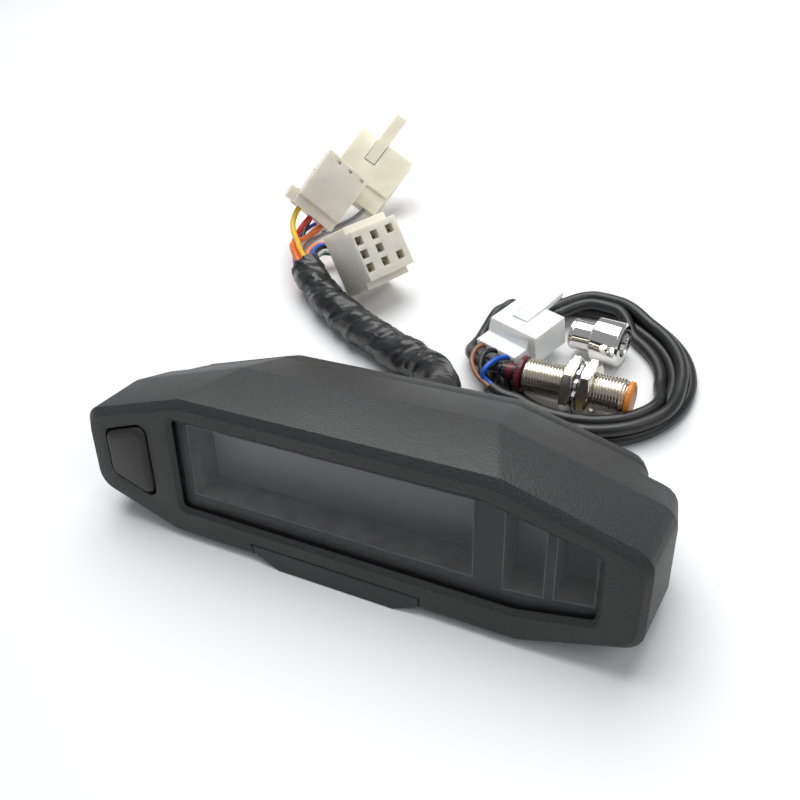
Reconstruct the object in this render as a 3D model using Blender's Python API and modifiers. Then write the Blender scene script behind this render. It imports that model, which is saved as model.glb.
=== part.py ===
"""Motorcycle instrument cluster with its harness and speed-sensor kit, for Blender 4.5.

Every size below is in millimetres; the helpers turn it into metres. The cluster is drawn in
its own frame (X to the right, Y into the housing from the face, Z up the face) and stands on
its trim and its rear cover, leaning back by LEAN. The harness and the sensor kit lie on the
surface behind it and are drawn in world axes.
"""

import math

import bmesh
import bpy
from mathutils import Matrix, Vector

MM = 0.001
GAP = 0.3                      # space kept between neighbouring pieces

# Stance
LEAN = math.radians(16.0)
STAND = 24.34                  # face centre line above the surface, measured down the face
ORIGIN_Y = 32.9

# Front housing: half outlines (top corner, upper outer, lower outer, bottom corner) by depth
WALL = 2.4
FACE = ((46.6, 21.1), (83.0, 10.4), (82.8, -12.2), (54.0, -21.3))
BAND = ((47.5, 23.6), (84.6, 12.6), (84.4, -13.4), (54.5, -22.6))
CREST = ((39.3, 26.6), (85.9, 12.9), (85.9, -14.5), (56.0, -17.6))
SHOULDER = ((38.8, 23.8), (84.0, 10.9), (84.0, -12.5), (56.0, -14.2))
STEP = ((38.8, 23.7), (76.5, 12.9), (76.5, -11.4), (54.0, -13.9))
RIM = ((38.4, 22.2), (75.2, 11.8), (75.2, -10.4), (53.0, -12.2))
BAND_Y, CREST_Y, SHOULDER_Y, STEP_Y, RIM_Y = 1.6, 21.3, 33.5, 33.9, 40.2
CORNERS = (6.0, 6.0, 6.0, 6.0)

# Display opening and its layers, front to back
OPENING = ((-51.2, -13.1), (52.9, -13.1), (72.8, -9.0), (72.8, 9.4), (43.5, 16.4), (-51.2, 16.4))
OPENING_CHAMFER = 1.4
LIP_Y = 1.2
FRONT_WALL = 1.5
LENS_LAND = 2.4                # how far the lens reaches behind the lip
WINDOWS = (
    ((-47.7, -8.9), (40.7, -8.9), (40.7, 14.5), (-47.7, 14.5)),
    ((48.7, -9.8), (59.4, -8.9), (59.4, 12.4), (48.7, 14.3)),
    ((61.8, -8.4), (71.9, -7.0), (71.9, 9.2), (61.8, 11.7)),
)
GASKET_Y, LENS_Y, MASK_Y, FRAME_Y = (1.8, 2.0), (2.3, 3.2), (3.5, 3.8), (4.1, 14.0)
LCD_Y, LIGHT_Y, BOARD_Y = (14.3, 16.3), (16.6, 18.8), (21.6, 23.2)

# Mode button
BUTTON = ((-76.4, -6.4), (-61.0, -11.9), (-61.0, 12.6), (-76.4, 7.4))
BUTTON_FRONT_Y, BUTTON_BACK_Y = -1.3, 3.4
BUTTON_CENTRE = (-68.7, 0.4)
BUTTON_CLEARANCE = 0.8
TRAVEL = 1.2

# Trim: front outline from its left shoulder, anticlockwise; None stands on the surface
TRIM_TOP = -18.5
TRIM = ((-25.4, -21.2), (-17.0, None), (19.5, None), (27.0, -21.5), (27.0, TRIM_TOP),
        (-26.6, TRIM_TOP))
TRIM_LIP_Y, TRIM_HEEL_Y = -0.6, 7.0

# Rear cover, fixings and cable exit
COVER = ((38.4, 21.6), (74.6, 11.4), (74.6, -10.2), (53.0, -11.9))
COVER_Y, COVER_BACK_Y = 41.5, 46.8
COVER_END = ((37.0, 20.6), (73.4, 10.4), (73.4, -9.2), (50.0, None))
POSTS = ((-69.8, 0.5), (69.8, 0.5), (-30.0, 16.9), (30.0, 16.9), (-42.0, -7.2), (42.0, -7.2))
BOARD_POSTS = ((-54.0, 3.0), (44.9, 10.5), (44.9, -7.0))
STUDS = (-38.0, 38.0)
STUD_Z = 5.0
STUD_END_Y = 50.0
EXIT = (4.0, 7.8)              # cable exit, across and up the rear face

# Harness, world route of the taped sleeve from the grommet to the wires
SLEEVE_D = 13.4
SLEEVE_ROUTE = (
    (4.0, 65.6, 14.6), (4.0, 70.4, 13.2), (0.5, 78.6, 9.6), (-7.5, 86.5, 7.2), (-18.6, 91.5, 6.9),
    (-32.0, 96.8, 6.9), (-48.0, 104.6, 6.9), (-63.0, 114.2, 6.9), (-75.5, 124.0, 7.6),
    (-83.0, 131.0, 9.0),
)

# Connectors: place and directions of each frame, and sizes
NINE_AT, NINE_X, NINE_Y = (-44.9, 131.3, 23.8), (0.414, 0.904, -0.102), (-0.788, 0.300, -0.538)
NINE_NOSE = ((-11.2, 0.0, -10.0), (10.1, 21.6, 10.0))
NINE_COLLAR = ((-11.2, 4.2, -12.7), (8.8, 21.6, 12.7))
NINE_COLUMNS, NINE_ROWS = (-8.9, -1.6, 5.7), (5.8, 0.4, -5.0)
THREE_AT, THREE_X, THREE_Y = (-84.7, 179.7, 30.0), (0.620, 0.202, -0.758), (0.344, 0.798, 0.494)
THREE_WIDTH = 21.2
THREE_SIDE = ((-27.6, -1.8), (-23.6, -1.8), (-22.8, 0.0), (0.0, 0.0), (0.0, -8.7), (-27.6, -8.7))
SIX_AT, SIX_X, SIX_Y = (-79.4, 205.4, 27.4), (0.823, -0.004, -0.568), (0.304, 0.848, 0.434)
SIX_WIDTH = 27.4
SIX_SIDE = ((-29.6, -1.5), (-21.0, -1.5), (-20.4, 0.0), (0.0, 0.0), (0.0, -9.3), (-29.6, -9.3))
PLUG_AT, PLUG_X, PLUG_Y = (21.6, 119.9, 15.6), (0.928, -0.372, 0.0), (0.372, 0.928, 0.0)
PLUG_WIDTH = 20.2
PLUG_SIDE = ((-22.7, -4.6), (-16.8, -4.6), (-15.0, 0.0), (0.0, 0.0), (0.0, -10.9), (-22.7, -10.9))

# Wires between the sleeve and the connectors
NINE_WIRES = ((-81.3, 134.0, 10.0), (-84.7, 138.2, 10.2), (-84.6, 145.4, 9.2), (-78.6, 148.4, 7.2),
              (-71.6, 144.2, 7.0), (-67.6, 140.4, 8.4), (-63.1, 138.3, 11.0))
THREE_WIRES = ((-84.9, 130.5, 12.8), (-91.0, 136.5, 13.2), (-97.0, 144.5, 11.4),
               (-100.0, 151.0, 10.4), (-100.2, 155.6, 11.2), (-98.2, 160.0, 13.7))
SIX_WIRES = ((-86.2, 130.5, 6.5), (-92.5, 137.6, 4.6), (-99.8, 149.0, 3.6), (-104.0, 161.0, 3.4),
             (-101.5, 172.0, 4.0), (-95.5, 178.4, 6.6), (-91.5, 182.4, 9.9))

# Speed sensor on its coiled lead
SENSOR_REAR, SENSOR_YAW, SENSOR_H = (24.3, 91.7), math.radians(-3.4), 8.65
SENSOR_R = 5.85
NUT_AF = 17.0
LEAD_D = 4.2
LEAD_ROUTE = ((16.85, 92.2, 8.65), (12.2, 92.8, 8.4), (7.4, 94.8, 7.8), (3.3, 98.6, 6.9),
              (0.6, 103.8, 4.6), (0.2, 109.4, 2.9), (0.4, 114.7, 2.4), (1.7, 121.3, 2.3),
              (4.4, 127.4, 2.3))
TAIL_ROUTE = ((24.2, 81.2, 6.8), (20.5, 82.2, 6.8), (16.0, 84.4, 6.9))
PLUG_WIRES = ((15.2, 84.8, 7.0), (11.4, 86.4, 9.0), (8.9, 89.4, 11.3), (8.9, 93.0, 12.4),
              (10.2, 95.6, 11.6), (11.7, 97.0, 10.2))
PLUG_WIRES_D = 3.2
COIL_AT, COIL_SEMI, COIL_TURN = (37.9, 108.1), (38.7, 33.3), -0.52
COIL_HIGH, COIL_LOW = 8.5, 4.3
COIL_OUTER, COIL_OUTER_LOW = -2.1, 2.4
COIL_INNER, COIL_INNER_LOW, COIL_INNER_RIGHT = 4.2, 14.5, 11.6
ADAPTER_AT, ADAPTER_YAW, ADAPTER_H = (33.2, 118.2), math.radians(-7.1), 7.75
ADAPTER_R, ADAPTER_LENGTH = 7.6, 18.4


def material(name, colour, roughness, metallic=0.0):
    """A Principled material."""
    mat = bpy.data.materials.get(name)
    if mat is None:
        mat = bpy.data.materials.new(name)
        mat.use_nodes = True
        shader = mat.node_tree.nodes["Principled BSDF"]
        shader.inputs["Base Color"].default_value = (*colour, 1.0)
        shader.inputs["Roughness"].default_value = roughness
        shader.inputs["Metallic"].default_value = metallic
    return mat


MATERIALS = {
    "grained_plastic": ((0.035, 0.036, 0.038), 0.62, 0.0),
    "button_plastic": ((0.030, 0.028, 0.029), 0.55, 0.0),
    "smoked_lens": ((0.02, 0.022, 0.024), 0.06, 0.0),
    "black_film": ((0.008, 0.008, 0.009), 0.35, 0.0),
    "frame_plastic": ((0.06, 0.062, 0.066), 0.4, 0.0),
    "lcd_glass": ((0.16, 0.18, 0.18), 0.15, 0.0),
    "light_guide": ((0.75, 0.78, 0.78), 0.3, 0.0),
    "board": ((0.01, 0.16, 0.06), 0.45, 0.0),
    "chip": ((0.02, 0.02, 0.02), 0.4, 0.0),
    "steel": ((0.6, 0.6, 0.6), 0.3, 1.0),
    "nickel": ((0.72, 0.66, 0.56), 0.22, 1.0),
    "chrome": ((0.82, 0.82, 0.82), 0.08, 1.0),
    "brass": ((0.75, 0.55, 0.22), 0.3, 1.0),
    "rubber": ((0.02, 0.02, 0.02), 0.8, 0.0),
    "tape": ((0.015, 0.015, 0.017), 0.3, 0.0),
    "cable": ((0.02, 0.02, 0.022), 0.45, 0.0),
    "nylon": ((0.80, 0.77, 0.66), 0.4, 0.0),
    "white_nylon": ((0.86, 0.87, 0.88), 0.4, 0.0),
    "wires": ((0.5, 0.08, 0.05), 0.4, 0.0),
    "orange": ((0.85, 0.32, 0.03), 0.4, 0.0),
    "maroon": ((0.20, 0.02, 0.03), 0.45, 0.0),
}


# ------------------------------------------------------------------ helpers

def clear_scene():
    for old in list(bpy.data.objects):
        bpy.data.objects.remove(old, do_unlink=True)


def make_collection(name):
    made = bpy.data.collections.new(name)
    bpy.context.scene.collection.children.link(made)
    return made


def rounded(corners, radii, steps=4):
    """A closed outline with each corner replaced by a tangent arc."""
    count = len(corners)
    if isinstance(radii, (int, float)):
        radii = [radii] * count
    points = []
    for i, corner in enumerate(corners):
        here = Vector(corner)
        before = (Vector(corners[i - 1]) - here).normalized()
        after = (Vector(corners[(i + 1) % count]) - here).normalized()
        radius = radii[i]
        half = before.angle(after) / 2
        if radius <= 0 or half > math.radians(89.5):
            points.append(here)
            continue
        centre = here + (before + after).normalized() * (radius / math.sin(half))
        start = here + before * (radius / math.tan(half)) - centre
        end = here + after * (radius / math.tan(half)) - centre
        sweep = start.angle_signed(end)
        for k in range(steps + 1):
            turn = -sweep * k / steps
            c, s = math.cos(turn), math.sin(turn)
            points.append(centre + Vector((start.x * c - start.y * s, start.x * s + start.y * c)))
    return points


def inset(corners, distance):
    """The outline moved inwards by distance (corners listed anticlockwise)."""
    count = len(corners)
    moved = []
    for i in range(count):
        here = Vector(corners[i])
        back = (here - Vector(corners[i - 1])).normalized()
        ahead = (Vector(corners[(i + 1) % count]) - here).normalized()
        n0, n1 = Vector((-back.y, back.x)), Vector((-ahead.y, ahead.x))
        moved.append(here + (n0 + n1) * (distance / (1 + n0.dot(n1))))
    return [tuple(p) for p in moved]


def whole(half):
    """Anticlockwise outline of a section from its right half, mirrored."""
    right = [half[3], half[2], half[1], half[0]]
    left = [(-x, z) for x, z in (half[0], half[1], half[2], half[3])]
    return right + left


def section(half, y, shrink=0.0, radii=CORNERS, steps=4):
    """Rounded ring of a housing section at depth y."""
    corners = whole(half)
    if shrink:
        corners = inset(corners, shrink)
    top, upper, lower, bottom = [max(r - shrink, 0.8) for r in radii]
    each = (bottom, lower, upper, top, top, upper, lower, bottom)
    return [Vector((p.x, y, p.y)) for p in rounded(corners, each, steps)]


def table(y):
    """Height on the face axis of the surface it stands on, at depth y."""
    return -(STAND - y * math.tan(LEAN))


class Builder:
    """Makes each piece, puts it in its collection and parents it."""

    def __init__(self):
        self.parts = make_collection("instrument_cluster")
        self.cutters = make_collection("cutters")
        self.tool_count = 0

    def empty(self, name, location=(0, 0, 0), rotation=None, parent=None):
        made = bpy.data.objects.new(name, None)
        self.parts.objects.link(made)
        made.location = Vector(location) * MM
        if rotation is not None:
            made.rotation_mode = "QUATERNION"
            made.rotation_quaternion = rotation
        made.parent = parent
        return made

    def add(self, name, mesh, slot, parent=None, smooth=False):
        made = bpy.data.objects.new(name, mesh)
        mesh.name = name
        made.parent = parent
        if slot is None:
            self.cutters.objects.link(made)
            made.hide_render = True
            made.display_type = "WIRE"
        else:
            self.parts.objects.link(made)
            mesh.materials.clear()
            mesh.materials.append(material(slot, *MATERIALS[slot]))
        if smooth:
            mesh.shade_smooth()
            mesh.set_sharp_from_angle(angle=math.radians(35))
        return made

    def tool(self, mesh, parent=None):
        self.tool_count += 1
        return self.add(f"tool_{self.tool_count:02d}", mesh, None, parent)


def boolean(target, tool, operation="DIFFERENCE"):
    step = target.modifiers.new(operation.lower(), "BOOLEAN")
    step.operation = operation
    step.object = tool
    step.solver = "EXACT"


def finish_mesh(bm):
    bmesh.ops.recalc_face_normals(bm, faces=bm.faces)
    mesh = bpy.data.meshes.new("piece")
    bm.to_mesh(mesh)
    bm.free()
    return mesh


def loft(rings):
    """Closed body through rings of the same number of points, in millimetres."""
    bm = bmesh.new()
    loops = [[bm.verts.new(Vector(p) * MM) for p in ring] for ring in rings]
    for low, high in zip(loops, loops[1:]):
        for i in range(len(low)):
            j = (i + 1) % len(low)
            bm.faces.new((low[i], low[j], high[j], high[i]))
    bm.faces.new(loops[0][::-1])
    bm.faces.new(loops[-1])
    return finish_mesh(bm)


def plate(outline, y0, y1):
    """Flat outline across X and Z, thick from y0 to y1: a filled curve made a mesh."""
    curve = bpy.data.curves.new("outline", "CURVE")
    curve.dimensions = "2D"
    curve.fill_mode = "BOTH"
    curve.extrude = abs(y1 - y0) / 2 * MM
    spline = curve.splines.new("POLY")
    spline.points.add(len(outline) - 1)
    for point, (x, z) in zip(spline.points, outline):
        point.co = (x * MM, z * MM, 0, 1)
    spline.use_cyclic_u = True
    holder = bpy.data.objects.new("outline", curve)
    bpy.context.scene.collection.objects.link(holder)
    bpy.context.view_layer.update()
    seen = holder.evaluated_get(bpy.context.evaluated_depsgraph_get())
    mesh = bpy.data.meshes.new_from_object(seen)
    bpy.data.objects.remove(holder, do_unlink=True)
    mesh.transform(Matrix.Rotation(math.radians(90), 4, "X"))
    mesh.transform(Matrix.Translation((0, (y0 + y1) / 2 * MM, 0)))
    bm = bmesh.new()
    bm.from_mesh(mesh)
    bmesh.ops.remove_doubles(bm, verts=bm.verts, dist=1e-6)
    return finish_mesh(bm)


def block(low, high):
    bm = bmesh.new()
    size = [(b - a) * MM for a, b in zip(low, high)]
    mid = [(a + b) / 2 * MM for a, b in zip(low, high)]
    bmesh.ops.create_cube(bm, size=1.0, matrix=Matrix.Translation(mid) @ Matrix.Diagonal((*size, 1)))
    return finish_mesh(bm)


def rod(start, end, radius, sides=16, end_radius=None):
    """Round (or many-sided) bar between two points."""
    start, end = Vector(start) * MM, Vector(end) * MM
    far = radius if end_radius is None else end_radius
    bm = bmesh.new()
    bmesh.ops.create_cone(bm, cap_ends=True, segments=sides, radius1=radius * MM, radius2=far * MM,
                          depth=(end - start).length)
    mesh = finish_mesh(bm)
    turn = (end - start).to_track_quat("Z", "Y").to_matrix().to_4x4()
    mesh.transform(Matrix.Translation((start + end) / 2) @ turn)
    return mesh


def cylinder(radius, y0, y1, at=(0, 0), sides=16, end_radius=None):
    """Round bar along Y from y0 to y1, at (x, z)."""
    return rod((at[0], y0, at[1]), (at[0], y1, at[1]), radius, sides, end_radius)


def turned(builder, name, profile, slot, parent, sides=20):
    """Profile of (radius, height) points, top to bottom down its outer side, turned about Z."""
    bm = bmesh.new()
    verts = [bm.verts.new((r * MM, 0, z * MM)) for r, z in profile]
    closed = profile[0][0] > 0 and profile[-1][0] > 0
    for a, b in zip(verts, verts[1:]):
        bm.edges.new((a, b))
    if closed:
        bm.edges.new((verts[-1], verts[0]))
    mesh = bpy.data.meshes.new("profile")
    bm.to_mesh(mesh)
    bm.free()
    made = builder.add(name, mesh, slot, parent)
    screw = made.modifiers.new("turn", "SCREW")
    screw.steps = sides
    screw.render_steps = sides
    screw.use_merge_vertices = True
    screw.merge_threshold = 0.00001
    screw.use_smooth_shade = True
    return made


def smooth_route(points, spacing):
    """Evenly spaced points on a Catmull-Rom curve through the route."""
    knots = [Vector(p) for p in points]
    knots = [knots[0] * 2 - knots[1]] + knots + [knots[-1] * 2 - knots[-2]]
    fine = []
    for i in range(1, len(knots) - 2):
        p0, p1, p2, p3 = knots[i - 1:i + 3]
        for k in range(24):
            t = k / 24
            fine.append(0.5 * ((2 * p1) + (p2 - p0) * t + (2 * p0 - 5 * p1 + 4 * p2 - p3) * t ** 2
                               + (3 * p1 - p0 - 3 * p2 + p3) * t ** 3))
    fine.append(knots[-2])
    length = sum((b - a).length for a, b in zip(fine, fine[1:]))
    wanted = max(3, round(length / spacing))
    even, run, target = [fine[0]], 0.0, length / wanted
    for a, b in zip(fine, fine[1:]):
        run += (b - a).length
        if run >= target * len(even) and len(even) < wanted:
            even.append(b)
    even.append(fine[-1])
    return even


def tube(builder, name, route, diameter, slot, resolution=2, spacing=2.2):
    """Plain round cord along a smooth route in world millimetres."""
    curve = bpy.data.curves.new(name, "CURVE")
    curve.dimensions = "3D"
    curve.bevel_depth = diameter / 2 * MM
    curve.bevel_resolution = resolution
    curve.use_fill_caps = True
    points = smooth_route(route, diameter * spacing)
    spline = curve.splines.new("POLY")
    spline.points.add(len(points) - 1)
    for point, place in zip(spline.points, points):
        point.co = (*(world(place) * MM), 1)
    curve.materials.append(material(slot, *MATERIALS[slot]))
    made = bpy.data.objects.new(name, curve)
    builder.parts.objects.link(made)
    return made


def world(place):
    """A place measured from the front contact line, in the object's own world axes."""
    return Vector((place[0], place[1] - ORIGIN_Y, place[2]))


# ------------------------------------------------------------------ cluster

def build_front_housing(b, frame):
    outer = [section(FACE, 0), section(BAND, BAND_Y), section(CREST, CREST_Y),
             section(SHOULDER, SHOULDER_Y), section(STEP, STEP_Y), section(RIM, RIM_Y)]
    housing = b.add("front_housing", loft(outer), "grained_plastic", frame)
    inner = [section(FACE, 2.2, 2.0), section(BAND, 4.0, WALL), section(CREST, CREST_Y, WALL),
             section(STEP, SHOULDER_Y - 1.5, WALL), section(RIM, RIM_Y + 2, WALL)]
    boolean(housing, b.tool(loft(inner), frame))
    for x, z in POSTS:
        post = b.tool(cylinder(3.4, 25.0, RIM_Y, (x, z), 12), frame)
        boolean(housing, post, "UNION")
    for x, z in POSTS:
        boolean(housing, b.tool(cylinder(1.7, 28.0, RIM_Y + 1, (x, z), 12), frame))
    lip = rounded(OPENING, 1.5, 3)
    wide = rounded(inset(OPENING, -OPENING_CHAMFER), 2.6, 3)
    wider = rounded(inset(OPENING, -2 * OPENING_CHAMFER), 3.6, 3)
    rings = [[Vector((p.x, y, p.y)) for p in ring] for ring, y in
             ((wider, -LIP_Y), (wide, 0.0), (lip, LIP_Y), (lip, 4.0))]
    boolean(housing, b.tool(loft(rings), frame))
    seat = rounded(inset(OPENING, -LENS_LAND - GAP), 2.0, 3)
    boolean(housing, b.tool(plate(seat, FRONT_WALL, 6.0), frame))
    pocket = rounded(inset(BUTTON, -BUTTON_CLEARANCE), 3.0, 4)
    boolean(housing, b.tool(plate(pocket, -2.0, 5.0), frame))
    trim_room = inset(trim_front(), -GAP)
    boolean(housing, b.tool(plate(trim_room, -4.0, 1.5), frame))
    return housing


def trim_front():
    """Front outline of the trim, anticlockwise."""
    foot = table(TRIM_LIP_Y)
    return tuple((x, foot if z is None else z) for x, z in TRIM)


def build_trim(b, frame):
    """Wedge under the face: a lip in front and a foot that lies on the surface."""
    lip_y, heel_y = TRIM_LIP_Y, TRIM_HEEL_Y
    side = ((0.0, TRIM_TOP), (lip_y, table(lip_y)), (heel_y, table(heel_y)), (heel_y, -21.6),
            (1.2, -23.0), (1.2, TRIM_TOP))
    rings = [[Vector((x, y, z)) for y, z in side] for x in (-27.5, 27.5)]
    trim = b.add("lower_trim", loft(rings), "grained_plastic", frame)
    boolean(trim, b.tool(plate(trim_front(), -6.0, 10.0), frame), "INTERSECT")
    return trim


def build_display(b, frame):
    land = inset(OPENING, -LENS_LAND)
    gasket = b.add("lens_gasket", plate(rounded(land, 2.0, 3), *GASKET_Y), "rubber", frame)
    hole = rounded(inset(OPENING, -0.5), 1.5, 3)
    boolean(gasket, b.tool(plate(hole, 1.0, 3.0), frame))
    b.add("lens", plate(rounded(land, 2.0, 3), *LENS_Y), "smoked_lens", frame)
    mask = b.add("window_mask", plate(rounded(land, 2.0, 3), *MASK_Y), "black_film", frame)
    back = inset(OPENING, -1.6)
    shell = [(-57.0, back[0][1]), *back[1:-1], (-57.0, back[-1][1])]
    tunnel = b.add("display_frame", plate(shell, *FRAME_Y), "frame_plastic", frame)
    for window in WINDOWS:
        boolean(mask, b.tool(plate(rounded(window, 0.5, 2), 3.0, 6.0), frame))
        boolean(tunnel, b.tool(plate(window, 3.5, 15.0), frame))
    for x, z in BOARD_POSTS:
        post = b.tool(cylinder(1.9, FRAME_Y[1] - 2, BOARD_Y[0] - GAP, (x, z), 12), frame)
        boolean(tunnel, post, "UNION")
        boolean(tunnel, b.tool(cylinder(1.0, 17.0, 22.0, (x, z), 10), frame))
    b.add("lcd_main", block((-49.6, LCD_Y[0], -10.8), (42.6, LCD_Y[1], 16.4)), "lcd_glass", frame)
    b.add("lcd_side", block((47.2, LCD_Y[0], -10.8), (73.6, LCD_Y[1], 13.0)), "lcd_glass", frame)
    light = block((-49.0, LIGHT_Y[0], -10.4), (42.2, LIGHT_Y[1], 16.0))
    b.add("backlight_panel", light, "light_guide", frame)


def build_board(b, frame):
    outline = ((-78, -7), (-62, -11), (62, -11), (67.5, -9), (67.5, 10), (44, 16), (-44, 16), (-78, 7))
    board = b.add("circuit_board", plate(outline, *BOARD_Y), "board", frame)
    for x, z in BOARD_POSTS:
        boolean(board, b.tool(cylinder(1.3, 20.0, 25.0, (x, z), 10), frame))
    front, back = BOARD_Y[0] - GAP, BOARD_Y[1] + GAP
    b.add("microcontroller", block((-12, back, -3), (-2, back + 1.4, 7)), "chip", frame)
    capacitor = b.add("capacitor", cylinder(3.1, back, back + 7.5, (-24, 2), 16), "steel", frame)
    capacitor.data.shade_smooth()
    header = b.add("board_header", block((6, back, -2), (26, back + 6, 4)), "nylon", frame)
    boolean(header, b.tool(block((7, back + 1, -1), (25, back + 8, 3)), frame))
    x, z = BUTTON_CENTRE
    switch = b.add("micro_switch", block((x - 3.1, 15.5, z - 3.1), (x + 3.1, front, z + 3.1)),
                   "chip", frame)
    boolean(switch, b.tool(cylinder(2.1, 15.0, 19.2, BUTTON_CENTRE, 16), frame))
    for i, (px, pz) in enumerate(BOARD_POSTS, 1):
        head = b.add(f"board_screw_{i}", cylinder(1.9, back, back + 1.3, (px, pz), 12), "steel", frame)
        shank = b.tool(cylinder(0.7, 18.5, back + 0.5, (px, pz), 8), frame)
        boolean(head, shank, "UNION")


def build_button(b, frame):
    """Cap, retaining flange and stem in one moulding; the plunger is the switch's own."""
    x, z = BUTTON_CENTRE
    holder = b.empty("button_axis", (x, 0, z), parent=frame)
    local = [(px - x, pz - z) for px, pz in BUTTON]
    rings = []
    for shrink, y in ((1.6, BUTTON_FRONT_Y), (0.9, BUTTON_FRONT_Y + 0.25), (0.3, BUTTON_FRONT_Y + 0.8),
                      (0.0, BUTTON_FRONT_Y + 1.5), (0.0, BUTTON_BACK_Y)):
        ring = rounded(inset(local, shrink), 2.6 - 0.4 * shrink, 4)
        rings.append([Vector((p.x, y, p.y)) for p in ring])
    cap = b.add("mode_button", loft(rings), "button_plastic", holder)
    flange = b.tool(plate(rounded(inset(local, -1.2), 3.0, 3), 2.7, BUTTON_BACK_Y + 0.2), holder)
    boolean(cap, flange, "UNION")
    boolean(cap, b.tool(cylinder(2.2, 2.0, 12.7, (0, 0), 12), holder), "UNION")
    cap.data.shade_smooth()
    cap.data.set_sharp_from_angle(angle=math.radians(40))
    b.add("switch_plunger", cylinder(1.7, 13.0, 17.2, (0, 0), 16), "button_plastic", holder, True)


def build_rear_cover(b, frame):
    foot = COVER_END[3][0]
    end = (*COVER_END[:3], (foot, table(COVER_BACK_Y)))
    mid_y = 43.0
    rings = [section(COVER, COVER_Y), section(COVER, mid_y), section(end, COVER_BACK_Y)]
    cover = b.add("rear_cover", loft(rings), "grained_plastic", frame)
    for x in STUDS:
        boss = b.tool(cylinder(7.6, 42.5, STUD_END_Y, (x, STUD_Z), 24, 7.0), frame)
        boolean(cover, boss, "UNION")
    inner = [section(COVER, COVER_Y - 2, WALL), section(COVER, mid_y, WALL),
             section(end, COVER_BACK_Y - WALL, WALL)]
    hollow = b.tool(loft(inner), frame)
    for x in STUDS:
        core = b.tool(cylinder(7.0, 42.0, STUD_END_Y, (x, STUD_Z), 24), frame)
        boolean(hollow, core)
    boolean(cover, hollow)
    for x in STUDS:
        boolean(cover, b.tool(cylinder(4.3, 43.0, STUD_END_Y + 1, (x, STUD_Z), 20), frame))
    boolean(cover, b.tool(cylinder(8.0, 40.0, 50.0, EXIT, 24), frame))
    for x, z in POSTS:
        boolean(cover, b.tool(cylinder(1.8, 40.0, 50.0, (x, z), 12), frame))
        boolean(cover, b.tool(cylinder(2.9, COVER_BACK_Y - 1.2, 50.0, (x, z), 16), frame))
    return cover


def build_seal(b, frame):
    ring = b.add("housing_seal", loft([section(RIM, 40.5, 0.4), section(RIM, 41.2, 0.4)]),
                 "rubber", frame)
    core = b.tool(loft([section(RIM, 39.0, 2.0), section(RIM, 43.0, 2.0)]), frame)
    boolean(ring, core)


def build_fixings(b, frame):
    seat = COVER_BACK_Y - 1.2
    for i, (x, z) in enumerate(POSTS, 1):
        screw = b.add(f"cover_screw_{i}", cylinder(2.6, seat + GAP, seat + 1.9, (x, z), 16),
                      "steel", frame)
        boolean(screw, b.tool(cylinder(1.35, 30.0, seat + 1.0, (x, z), 10), frame), "UNION")
        slot = b.tool(block((x - 1.7, seat + 1.3, z - 0.3), (x + 1.7, seat + 3, z + 0.3)), frame)
        cross = b.tool(block((x - 0.3, seat + 1.3, z - 1.7), (x + 0.3, seat + 3, z + 1.7)), frame)
        boolean(screw, slot)
        boolean(screw, cross)
    for side, x in zip(("left", "right"), STUDS):
        insert = b.add(f"mount_insert_{side}", cylinder(4.0, 43.4, STUD_END_Y, (x, STUD_Z), 20),
                       "brass", frame)
        boolean(insert, b.tool(cylinder(2.5, 45.0, STUD_END_Y + 2, (x, STUD_Z), 16), frame))


def build_grommet(b, frame):
    """Rubber grommet with a groove round the cover's wall and a tapered strain relief."""
    turn = b.empty("grommet_axis", (EXIT[0], COVER_BACK_Y, EXIT[1]), parent=frame)
    turn.rotation_mode = "QUATERNION"
    turn.rotation_quaternion = Matrix.Rotation(math.radians(-90), 3, "X").to_quaternion()
    profile = ((0.0, 11.0), (7.6, 11.0), (8.3, 10.2), (9.0, 4.0), (10.0, 2.6), (10.0, 0.3),
               (7.6, 0.3), (7.6, -2.7), (9.2, -2.7), (9.2, -4.2), (7.0, -4.6), (0.0, -4.6))
    turned(b, "harness_grommet", profile, "rubber", turn, 24)


# ------------------------------------------------------------------ harness

def frame_of(x_axis, y_axis):
    """Rotation whose X and Y follow the two directions given."""
    y = Vector(y_axis).normalized()
    x = Vector(x_axis)
    x = (x - y * x.dot(y)).normalized()
    return Matrix((x, y, x.cross(y))).transposed().to_quaternion()


def build_nine_way(b):
    """Nine-way socket; local -Y is the mating side, Z runs up its rows."""
    hold = b.empty("nine_way_frame", world(NINE_AT), frame_of(NINE_X, NINE_Y))
    body = b.add("connector_nine_way", block(*NINE_NOSE), "nylon", hold)
    boolean(body, b.tool(block(*NINE_COLLAR), hold), "UNION")
    back = NINE_NOSE[1][1]
    for column, x in enumerate(NINE_COLUMNS):
        for row, z in enumerate(NINE_ROWS):
            if (column, row) == (2, 1):
                continue
            boolean(body, b.tool(block((x - 1.6, -1, z - 1.65), (x + 1.6, 9, z + 1.65)), hold))
            wire_hole = cylinder(1.4, back - 5, back + 1, (x * 0.75, z * 0.85), 8)
            boolean(body, b.tool(wire_hole, hold))


def side_body(b, name, hold, side, x0, x1, slot):
    """Side view of (depth, height) points made a solid from x0 to x1."""
    rings = [[Vector((x, y, z)) for y, z in side] for x in (x0, x1)]
    return b.add(name, loft(rings), slot, hold)


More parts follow.
